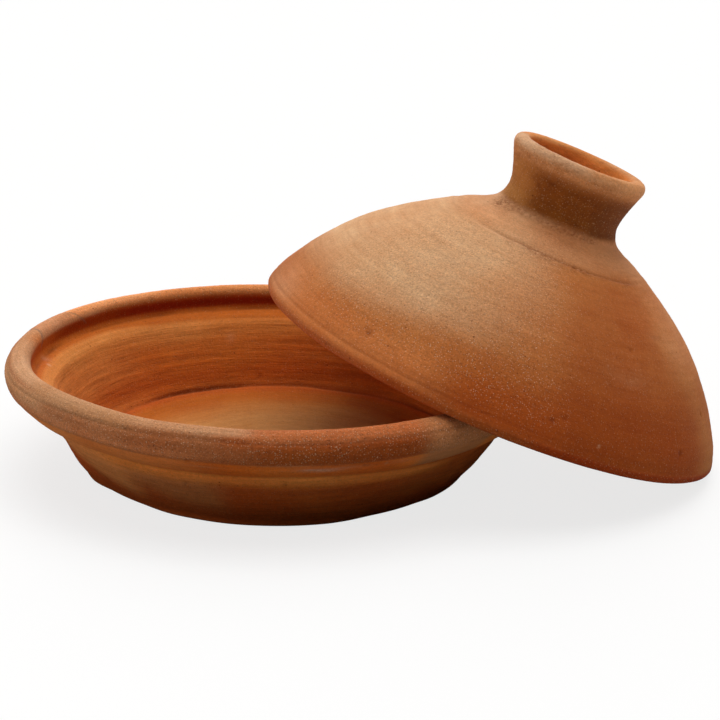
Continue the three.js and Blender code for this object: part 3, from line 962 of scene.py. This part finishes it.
# ------------------------------------------------------------------ fired clay
def clay(name):
    material = bpy.data.materials.new(name)
    nodes = Nodes(material)
    add, multiply, linear, swing = nodes.add, nodes.multiply, nodes.linear, nodes.swing
    span, mix, darken = nodes.span, nodes.mix, nodes.darken
    where = nodes.attribute("own", "Vector")
    spin = nodes.attribute("spin", "Vector")
    tint = nodes.attribute("tint", "Vector")
    grit = nodes.attribute("grit")
    dragged = nodes.attribute("drag")
    torn = nodes.attribute("torn")

    # patches of a few centimetres, mottling of about one, coarse sand and fine sand
    cloud = nodes.noise(where, scale=24, detail=4, rough=0.55, distortion=0.3)
    mottle = nodes.noise(where, scale=130, detail=4, rough=0.62)
    coarse = nodes.noise(where, scale=430, detail=3, rough=0.68)
    fine = nodes.noise(where, scale=950, detail=2, rough=0.7)
    # streaks drawn round the wheel, broad and hair-fine
    drag = nodes.noise(nodes.scaled(spin, 0.22, 0.22, 0.42), scale=1.0, detail=4, rough=0.62)
    hair = nodes.noise(nodes.scaled(spin, 0.8, 0.8, 1.5), scale=1.0, detail=3, rough=0.6)

    # value: each pattern with how far it swings the brightness
    value = add(1.0, swing(mottle, 0.16))
    value = add(value, swing(coarse, 0.34))
    value = add(value, multiply(swing(fine, 0.9), add(grit, 0.35)))
    value = add(value, multiply(swing(drag, 0.85), dragged))
    value = add(value, multiply(swing(hair, 0.55), dragged))
    scale = nodes.make("VectorMath", {}, operation="SCALE")
    nodes.tree.links.new(tint, scale.inputs[0])
    nodes.tree.links.new(value, scale.inputs["Scale"])
    colour = scale.outputs[0]
    # hue: warmer and paler clay side by side
    hue = add(
        add(0.5, swing(cloud, 1.5)), add(swing(mottle, 0.6), swing(drag, 1.0)), clamp=True
    )
    hue_tone = mix(hue, (0.985, 0.90, 0.80, 1), (1.015, 1.10, 1.20, 1))
    colour = mix(1.0, colour, hue_tone, "MULTIPLY")

    # sand: a grain is a cell's middle, kept where the cell's random number is in range
    far, pick = nodes.cells(where, scale=900)
    grain = multiply(span(far, 0.42, 0.16), span(pick, 0.50, 0.92))
    colour = mix(multiply(grain, linear(grit, 0.62, 0.03)), colour, (0.78, 0.47, 0.27, 1))
    # dark grains, sunk as tiny pits, darkened as painted shade in them
    dark_grain = multiply(span(far, 0.40, 0.18), span(pick, 0.26, 0.06))
    weight = multiply(dark_grain, linear(grit, 0.55, 0.15))
    colour = darken(weight, colour, (0.54, 0.40, 0.31, 1))
    # big pale grains
    big_far, big_pick = nodes.cells(where, scale=340)
    big = multiply(span(big_far, 0.19, 0.08), span(big_pick, 0.88, 0.97))
    colour = mix(multiply(big, linear(grit, 0.55, 0.06)), colour, (0.80, 0.52, 0.32, 1))
    # small pale grains, which also stand in for fine glints as painted highlights
    small_far, small_pick = nodes.cells(where, scale=1450)
    glint = multiply(span(small_far, 0.42, 0.20), span(small_pick, 0.72, 0.95))
    colour = mix(multiply(glint, linear(grit, 0.42, 0.03)), colour, (0.84, 0.56, 0.36, 1))
    # pin holes, darkened as painted shade in them
    hole = multiply(span(big_far, 0.20, 0.10), span(big_pick, 0.05, 0.01))
    colour = darken(multiply(hole, 0.6), colour, (0.35, 0.24, 0.20, 1))
    # torn clay: crumbs about 1.5 mm across, pale on top, with painted shade in the gaps between
    crumb_far, crumb_pick = nodes.cells(nodes.scaled(where, 1.0, 1.0, 1.3), scale=560)
    lump = multiply(span(crumb_far, 0.55, 0.20), span(crumb_pick, 0.30, 0.75))
    gaps = nodes.noise(where, scale=700, detail=2, rough=0.6)
    gap = multiply(nodes.math("SUBTRACT", 1.0, lump), span(gaps, 0.45, 0.58))
    colour = darken(multiply(torn, multiply(gap, 0.65)), colour, (0.55, 0.40, 0.31, 1))
    colour = mix(multiply(torn, multiply(lump, 0.34)), colour, (0.70, 0.40, 0.21, 1))

    # roughness: dry clay, between 0.80 and 0.96
    rough = span(add(fine, multiply(grit, 0.15)), 0.3, 0.75, low=0.80, high=0.96)

    # bump: sand, drag lines, grains, holes and crumbs, each with its share of the height
    height = multiply(coarse, linear(grit, 0.9, 0.35))
    height = add(height, multiply(fine, linear(grit, 0.5, 0.25)))
    height = add(height, multiply(hair, multiply(dragged, 0.6)))
    height = add(height, multiply(drag, multiply(dragged, 0.9)))
    height = add(height, multiply(grain, multiply(grit, 1.0)))
    sunk = add(multiply(dark_grain, 0.5), multiply(hole, 1.0))
    height = nodes.math("SUBTRACT", height, sunk)
    height = add(height, multiply(lump, multiply(torn, 2.2)))
    bump = nodes.shader("Bump", Strength=1.0, Distance=0.0004, Height=height)

    surface = nodes.make("BsdfPrincipled", {
        "Base Color": colour,
        "Roughness": rough,
        "Specular IOR Level": 0.16,
        "Normal": bump,
    })
    nodes.make("OutputMaterial", {"Surface": surface.outputs[0]})
    return material


dish_body.data.materials.append(clay("dish_terracotta"))
lid_body.data.materials.append(clay("lid_terracotta"))

for body, part in ((dish_body, "dish"), (lid_body, "lid")):
    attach(body, part)
    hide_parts(part)


# ------------------------------------------------------------------ stage: pale floor, soft light
def floor_material():
    """White to the camera, a dimmer source of bounced light, and clear from below."""
    material = bpy.data.materials.new("floor_white")
    nodes = Nodes(material)
    camera_ray = nodes.make("LightPath", {}).outputs["Is Camera Ray"]
    geometry = nodes.make("NewGeometry", {})
    # what the camera sees: mostly a flat glow, which leaves faint shadows
    seen = nodes.shader("BsdfDiffuse", Color=(0.90, 0.898, 0.892, 1))
    glow = nodes.shader("Emission", Color=(1.0, 0.998, 0.994, 1))
    veil = nodes.blend(0.78, seen, glow)
    # light off the floor: little from under the pot, more from round it (metres from the axis)
    flat = nodes.scaled(geometry.outputs["Position"], 1, 1, 0)
    far = nodes.make("VectorMath", {0: flat}, operation="LENGTH").outputs["Value"]
    bounced = nodes.shader("BsdfDiffuse", Color=nodes.span(far, 0.13, 0.36, low=0.03, high=0.90))
    # a little light straight up on the dish's underside, so that it can be seen from below
    strength = nodes.span(far, 0.094, 0.1005, low=0.45, high=0.0, kind="LINEAR")
    lift = nodes.shader("Emission", Strength=strength)
    bounce = nodes.make("AddShader", {0: bounced, 1: lift}).outputs[0]
    clear = nodes.shader("BsdfTransparent")
    top = nodes.blend(camera_ray, bounce, veil)
    both = nodes.blend(geometry.outputs["Backfacing"], top, clear)
    nodes.make("OutputMaterial", {"Surface": both})
    return material


FLOOR_HALF = 40  # metres
plane = bpy.data.meshes.new("floor")
corners = [(x * FLOOR_HALF, y * FLOOR_HALF, 0) for x, y in ((-1, -1), (1, -1), (1, 1), (-1, 1))]
plane.from_pydata(corners, [], [(0, 1, 2, 3)])
floor = bpy.data.objects.new("floor", plane)
floor.location.z = -0.0002
bpy.context.scene.collection.objects.link(floor)
plane.materials.append(floor_material())

# even, soft light from far away: (name, azimuth, elevation, strength, spread), angles in degrees;
# azimuth 0 is the camera's side, 90 its right
LAMPS = (
    ("key_top", 0, 90, 1.30, 50),
    ("key_right", 90, 60, 0.74, 45),
    ("key_back", 180, 60, 0.98, 45),
    ("rim_back", 180, 25, 1.00, 40),
    ("fill_left", -90, 25, 0.24, 45),
    ("fill_low", -72, 6, 0.66, 45),
)


def add_lamp(name, azimuth, elevation, strength, spread):
    data = bpy.data.lights.new(name, "SUN")
    data.energy = strength
    data.angle = math.radians(spread)
    lamp = bpy.data.objects.new(name, data)
    turn, rise = math.radians(azimuth), math.radians(elevation)
    beam = Vector(
        (-math.sin(turn) * math.cos(rise), math.cos(turn) * math.cos(rise), -math.sin(rise))
    )
    lamp.rotation_mode = "QUATERNION"
    lamp.rotation_quaternion = beam.to_track_quat("-Z", "Y")
    bpy.context.scene.collection.objects.link(lamp)


for lamp_row in LAMPS:
    add_lamp(*lamp_row)


def studio_world():
    """White to the camera, almost dark to everything else."""
    world = bpy.data.worlds.new("studio")
    nodes = Nodes(world)
    camera_ray = nodes.make("LightPath", {}).outputs["Is Camera Ray"]
    dim = nodes.shader("Background", Color=(1, 0.99, 0.975, 1), Strength=0.04)
    white = nodes.shader("Background", Color=(1, 1, 1, 1), Strength=1.0)
    nodes.make("OutputWorld", {"Surface": nodes.blend(camera_ray, dim, white)})
    return world


bpy.context.scene.world = studio_world()

# ------------------------------------------------------------------ camera
# it stands at a distance and elevation (radians) from a point on the axis
CAMERA_CENTRE_Z = 40
CAMERA_DISTANCE = 1335.08
CAMERA_ELEVATION = 0.303596
# where it looks, in radians: down, to the left of +y, and its roll
CAMERA_PITCH = 0.28963319
CAMERA_YAW = -0.03555955
CAMERA_ROLL = 0.018519
CAMERA_LENS = 119.781842
SENSOR_WIDTH = 36


def add_camera():
    pitch, yaw, roll = CAMERA_PITCH, CAMERA_YAW, CAMERA_ROLL
    ahead = Vector(
        (-math.sin(yaw) * math.cos(pitch), math.cos(yaw) * math.cos(pitch), -math.sin(pitch))
    )
    level = Vector((math.cos(yaw), math.sin(yaw), 0))
    upright = level.cross(ahead)
    right = level * math.cos(roll) + upright * math.sin(roll)
    upward = upright * math.cos(roll) - level * math.sin(roll)
    y = -CAMERA_DISTANCE * math.cos(CAMERA_ELEVATION) * MM
    z = (CAMERA_CENTRE_Z + CAMERA_DISTANCE * math.sin(CAMERA_ELEVATION)) * MM
    data = bpy.data.cameras.new("camera")
    data.sensor_width = SENSOR_WIDTH
    data.lens = CAMERA_LENS
    data.clip_start = 0.05
    data.clip_end = 100
    camera = bpy.data.objects.new("camera", data)
    bpy.context.scene.collection.objects.link(camera)
    camera.matrix_world = Matrix((
        (right.x, upward.x, -ahead.x, 0.0),
        (right.y, upward.y, -ahead.y, y),
        (right.z, upward.z, -ahead.z, z),
        (0, 0, 0, 1),
    ))
    bpy.context.scene.camera = camera


add_camera()
view = bpy.context.scene.view_settings
view.view_transform = "Standard"
view.look = "None"
view.exposure = 0.0

bpy.context.view_layer.update()
